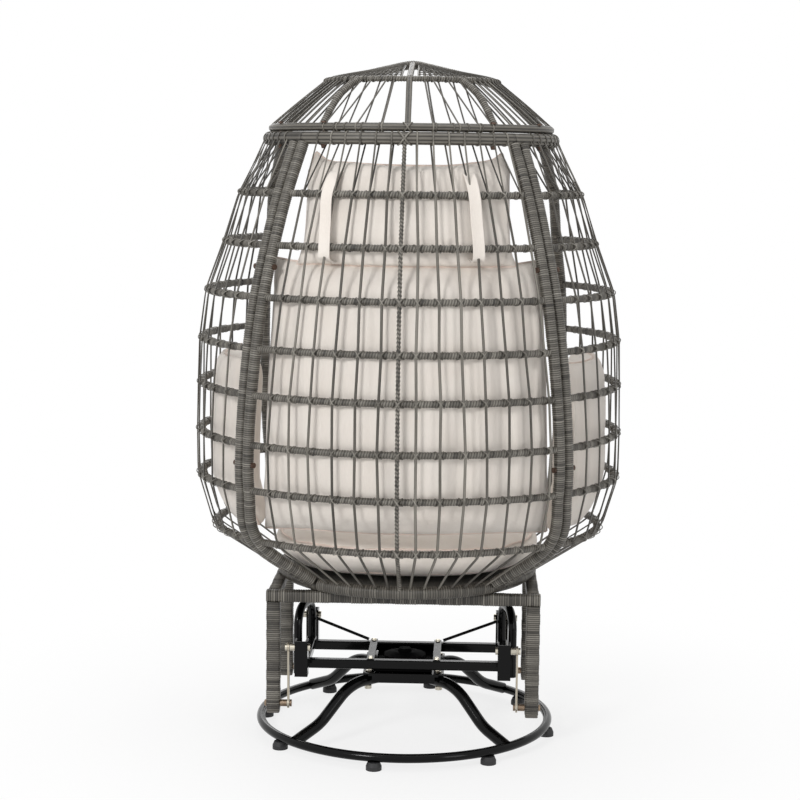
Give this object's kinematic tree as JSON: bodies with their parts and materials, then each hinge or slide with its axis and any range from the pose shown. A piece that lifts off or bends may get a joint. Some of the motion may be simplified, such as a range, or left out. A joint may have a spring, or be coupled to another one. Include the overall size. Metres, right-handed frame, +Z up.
{
  "type": "wicker pod chair",
  "caption": "Egg-shaped outdoor wicker pod chair with loose cushions, a roofed back, and a gliding seat frame on a swivel ring base.",
  "frame": {"origin": "on the floor, on the swivel axis, midway along the width and the depth", "axes": "+Z up, -Y is where the sitter looks, +X is the sitter's left"},
  "size_m": [0.9428, 0.7384, 1.4699],
  "materials": {
    "wicker": "grey woven resin wicker over steel tube",
    "black_steel": "gloss black powder coat",
    "zinc": "zinc plate",
    "bolt_dark": "dark bronze bolt ends",
    "cushion": "cream woven polyester",
    "rubber": "moulded black",
    "nylon": "plain nylon"
  },
  "bodies": {
    "base": {"floor_ring": "black_steel", "floor_ring_feet": "rubber", "base_legs": "black_steel", "swivel_lower_plate": "black_steel", "hub_bolts": "zinc", "swivel_pin": "zinc", "thrust_washer": "nylon"},
    "carriage": {"swivel_upper_plate": "black_steel", "bearing_housing": "black_steel", "cross_tube_front": "black_steel", "cross_tube_rear": "black_steel", "carriage_straps": "black_steel", "strap_bolts": "zinc", "side_rail_right": "black_steel", "side_rail_left": "black_steel", "pivot_brackets": "black_steel", "upper_pivot_bolts": "zinc", "carriage_hoop_left": "black_steel", "carriage_hoop_right": "black_steel", "brace_rods": "black_steel"},
    "front_links": {"front_links": "zinc", "front_link_bushes": "nylon"},
    "rear_links": {"rear_links": "zinc", "rear_link_bushes": "nylon"},
    "chair": {"glider_posts": "wicker", "glider_bar_front": "wicker", "glider_bar_rear": "wicker", "glider_bar_right": "wicker", "glider_bar_left": "wicker", "back_edge_tubes": "wicker", "back_rings": "wicker", "back_strands": "wicker", "back_spine": "wicker", "back_top_tube": "wicker", "left_edge_tubes": "wicker", "left_rings": "wicker", "left_strands": "wicker", "left_top_tube": "wicker", "right_edge_tubes": "wicker", "right_rings": "wicker", "right_strands": "wicker", "right_top_tube": "wicker", "cap_rim": "wicker", "cap_front_arch": "wicker", "cap_middle_ring": "wicker", "cap_ribs": "wicker", "cap_strands": "wicker", "seat_ring": "wicker", "seat_deck": "wicker", "seat_cushion": "cushion", "back_cushion": "cushion", "head_pillow": "cushion", "arm_cushion_left": "cushion", "arm_cushion_right": "cushion", "pillow_straps": "cushion", "post_end_caps": "rubber", "lower_pivot_bolts": "zinc", "panel_bolts": "bolt_dark", "cap_bolts": "bolt_dark", "deck_bars": "black_steel"}
  },
  "joints": [
    {"name": "swivel", "type": "hinge", "parent": "base", "child": "carriage", "pos_m": [0, 0, 0.1455], "axis": [0, 0, 1], "continuous": true},
    {"name": "rear_link_swing", "type": "hinge", "parent": "carriage", "child": "rear_links", "pos_m": [0, 0.15, 0.213], "axis": [1, 0, 0], "range_deg": [-18, 18]},
    {"name": "front_link_swing", "type": "hinge", "parent": "carriage", "child": "front_links", "pos_m": [0, -0.15, 0.213], "axis": [1, 0, 0], "range_deg": [-18, 18]},
    {"name": "chair_level", "type": "hinge", "parent": "rear_links", "child": "chair", "pos_m": [0, 0.15, 0.09], "axis": [1, 0, 0], "range_deg": [-18, 18]}
  ],
  "couplings": [
    {"joint": "front_link_swing", "follows": "rear_link_swing", "ratio": 1},
    {"joint": "chair_level", "follows": "rear_link_swing", "ratio": -1}
  ]
}
